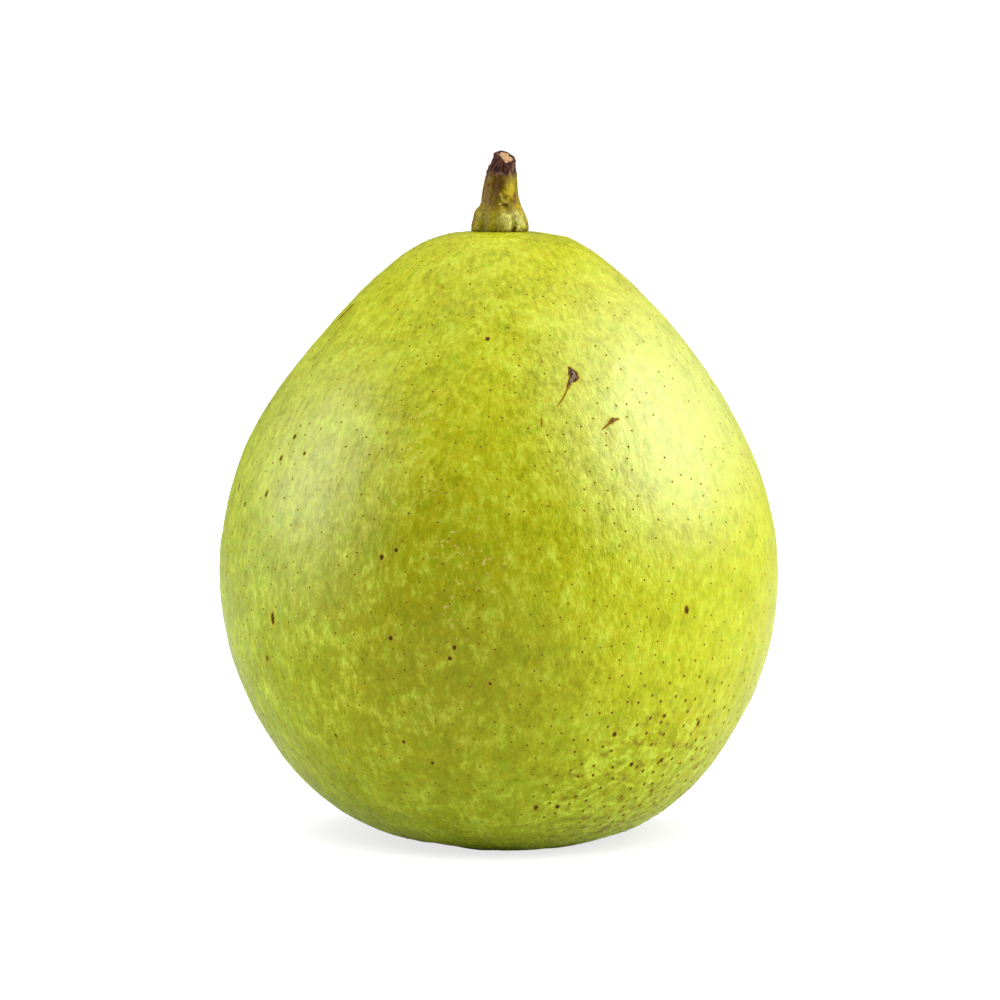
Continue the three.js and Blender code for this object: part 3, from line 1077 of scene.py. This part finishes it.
def mix_bark(paint):
    """Green and yellow flesh at the foot, brown bark up the left side, and dry plum bark round the cut
    whose grey flakes are partly a painted sheen, with painted shade in the folds and in the crease where
    the stem meets the fruit.
    """
    at = paint.place()
    raggedness = paint.noise(at, 0.8 * MM, 3.0, 0.3, 0.6) - 0.5
    ragged = at + raggedness * (1.6 * MM)
    crisp = at + raggedness * (0.5 * MM)
    share = (ragged.part("Z") - H) / STEM_LENGTH
    colour = paint.mix(share.smooth(0.12, 0.36), FOOT_FLESH, FLESH)
    streaks = paint.noise(at * (1, 1, 0.25), 0.5 * MM, 3.0, 0.8, 0.7)
    colour = paint.mix(streaks.smooth(0.5, 0.68) * 0.6, colour, MOSS)
    for turn, up, across, tall, tone, strength in STEM_PATCHES + LIP_PATCHES:
        half, lean = bent(STEM_OUTLINE, up)
        out = outward(turn)
        centre = ((half * out.x + lean) * FOOT, half * out.y * FOOT, H + up * STEM_LENGTH)
        reach = (across * MM, across * MM, tall * MM)
        patch = blob(crisp if across < SMALL_PATCH else ragged, centre, reach)
        colour = paint.mix(patch.smooth(0.0, 0.7) * strength, colour, tone)
    specks = paint.noise(at, 0.4 * MM, 2.0, 1.7).smooth(0.5, 0.68) * share.smooth(0.45, 0.25)
    colour = paint.mix(specks * 0.6, colour, MOSS)
    dry = share.smooth(0.66, 0.74)
    # Grey flakes on the dry bark, partly a painted sheen.
    flakes_and_sheen = paint.noise(at * (1, 1, 0.5), 0.9 * MM, 3.0, 0.4, 0.65)
    bark = paint.mix(flakes_and_sheen.smooth(0.5, 0.66) * 0.8, PLUM, ASH_AND_SHEEN)
    colour = paint.mix(dry, colour, bark)
    # Painted shade in the folds of the crumpled bark.
    colour = paint.mix(paint.read("fold_shade") * (dry * 0.55 + 0.3), colour, PITCH)
    # Painted shade in the crease where the stem meets the fruit.
    colour = paint.mix(share.smooth(0.07, 0.0) * 0.85, colour, CREASE_SHADE)
    torn = paint.noise(at, 0.6 * MM, 2.0, 0.9)
    pulp = paint.mix(torn.smooth(0.46, 0.66) * 0.8, PULP, TORN_PULP)
    cut = (paint.read("cut") + torn * 0.8 - 0.4).smooth(0.45, 0.75)
    colour = paint.mix(cut, colour, pulp)
    normal = paint.bump(paint.noise(at, 0.3 * MM, 3.0, 0.5, 0.7), 0.06 * MM)
    return paint.finish({
        "Base Color": colour, "Roughness": dry * 0.15 + 0.45, "Normal": normal, "Specular IOR Level": 0.14,
    })


# The dried flower's tones.
WITHERED = srgb(58, 40, 24)
HUSK = srgb(112, 84, 52)
WORN = srgb(150, 134, 108)


def mix_withered(paint):
    """The dried flower: dull brown in two tones, with worn grey specks towards the tips."""
    at = paint.place()
    husky = paint.noise(at, 0.9 * MM, 3.0, 0.2, 0.6).smooth(0.35, 0.65)
    worn = paint.noise(at, 0.35 * MM, 2.0, 1.1).smooth(0.55, 0.7)
    tips = at.part("Z").smooth(RING_HEIGHT, 0.4 * RING_HEIGHT)
    colour = paint.mix(worn * tips * 0.7, paint.mix(husky, WITHERED, HUSK), WORN)
    normal = paint.bump(paint.noise(at, 0.4 * MM, 3.0, 0.5, 0.7), 0.08 * MM)
    return paint.finish({
        "Base Color": colour, "Roughness": 0.85, "Normal": normal, "Specular IOR Level": 0.2,
    })


# ---- the stage

LENS = 120
SENSOR = 36
CAMERA_DISTANCE = 0.488
CAMERA_RISE = math.radians(6)
AIM = Vector((0, 0, 49 * MM))

# The lights: azimuth from +X and elevation in degrees, distance, width, height and watts.
LIGHTS = {
    "right_window": (-12, 29, 0.6, 0.5, 0.45, 4.1),
    "left_window": (184, 27, 0.6, 0.35, 0.45, 2.5),
    "overhead": (120, 80, 0.7, 0.6, 0.6, 2.1),
}
LIT_MIDDLE = Vector((0, 0, 45 * MM))

# How bright the surround looks, and how brightly it lights the pear.
SURROUND_SEEN, SURROUND_CAST = 1.05, 0.19

# The floor: its size and its tone, and the glow that a look at it adds: the share that is glow, how bright
# it is under the pear, and how much brighter it gets past the contact and then far away. The weaker glow
# under the pear paints a shadow round the contact.
FLOOR_SIZE = 40
FLOOR_TONE = (0.8, 0.8, 0.8)
GLOW_SHARE, GLOW_BASE, GLOW_PAST_SHADOW, GLOW_FAR = 0.7, 1.05, 0.38, 0.3
WHITE = (1, 1, 1)


def aimed(name, data, place, target):
    made = add_object(name, data)
    turned = (target - place).to_track_quat("-Z", "Y").to_matrix().to_4x4()
    made.matrix_world = Matrix.Translation(place) @ turned
    return made


def add_light(name, place, target, width, height, watts):
    light = bpy.data.lights.new(name, "AREA")
    light.shape = "RECTANGLE"
    light.size = width
    light.size_y = height
    light.energy = watts
    aimed(name, light, place, target)


def from_angles(azimuth, elevation, distance):
    """A place given by its azimuth from +X and its elevation, in degrees, and its distance."""
    turn, rise = math.radians(azimuth), math.radians(elevation)
    level = math.cos(rise)
    return distance * Vector((math.cos(turn) * level, math.sin(turn) * level, math.sin(rise)))


def add_world(seen, cast):
    """A plain surround that looks as bright as seen and lights the pear as brightly as cast."""
    world = bpy.data.worlds.new("studio")
    world.use_nodes = True
    world.node_tree.nodes.clear()
    graph = Graph(world.node_tree)
    looked_at = graph.node("ShaderNodeLightPath", {}, {})["Is Camera Ray"]
    strength = looked_at * (seen - cast) + cast
    glow = graph.node("ShaderNodeBackground", {}, {"Color": WHITE, "Strength": strength})[0]
    graph.node("ShaderNodeOutputWorld", {}, {"Surface": glow})
    bpy.context.scene.world = world


def floor_paint():
    """A pale floor whose shadows look soft and light, with a shadow painted round the contact where its
    glow is weaker, and which runs out into the bright surround.
    """
    paint = Paint("pale_floor")
    looked_at = paint.node("ShaderNodeLightPath", {}, {})["Is Camera Ray"]
    away = (paint.place() * (0.85, 1.15, 1)).math("LENGTH")
    matt = paint.node("ShaderNodeBsdfDiffuse", {}, {"Color": FLOOR_TONE})[0]
    # Less glow under the pear: a painted shadow round the contact.
    past_painted_shadow = away.smooth(0.45 * R, 0.75 * R) * GLOW_PAST_SHADOW
    strength = past_painted_shadow + away.smooth(2 * R, 12 * R) * GLOW_FAR + GLOW_BASE
    glow = paint.node("ShaderNodeEmission", {}, {"Color": WHITE, "Strength": strength})[0]
    mixed = paint.node("ShaderNodeMixShader", {}, {0: looked_at * GLOW_SHARE, 1: matt, 2: glow})[0]
    paint.node("ShaderNodeOutputMaterial", {}, {"Surface": mixed})
    return paint.material


def make_stage():
    bpy.ops.mesh.primitive_plane_add(size=FLOOR_SIZE)
    floor = bpy.context.object
    floor.name = "floor"
    floor.data.materials.append(floor_paint())
    add_world(SURROUND_SEEN, SURROUND_CAST)
    for name, (azimuth, elevation, distance, width, height, watts) in LIGHTS.items():
        place = LIT_MIDDLE + from_angles(azimuth, elevation, distance)
        add_light(name, place, LIT_MIDDLE, width, height, watts)
    camera = bpy.data.cameras.new("camera")
    camera.lens = LENS
    camera.sensor_width = SENSOR
    back = Vector((0, -math.cos(CAMERA_RISE), math.sin(CAMERA_RISE)))
    bpy.context.scene.camera = aimed("camera", camera, AIM + back * CAMERA_DISTANCE, AIM)
    bpy.context.scene.view_settings.view_transform = "Standard"


# ---- the pear, piece by piece

skin = Paint("waxy_skin")
fruit = make_fruit(skin.material)
mix_skin(skin)
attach(fruit, "root")
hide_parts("fruit")
dot_paint = Paint("corky_dot")
dots = make_dots(fruit, dot_paint.material)
mix_dots(dot_paint)
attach(dots, "root")
scratch_paint = Paint("healed_scratch")
scratches = make_scratches(fruit, scratch_paint.material)
mix_scratches(scratch_paint)
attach(scratches, "root")
bark_paint = Paint("stem_bark")
stem = make_stem(bark_paint.material)
mix_bark(bark_paint)
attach(stem, "root")
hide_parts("stem")
withered_paint = Paint("withered_flower")
calyx = make_calyx(withered_paint.material)
mix_withered(withered_paint)
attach(calyx, "root")
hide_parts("calyx")
make_stage()
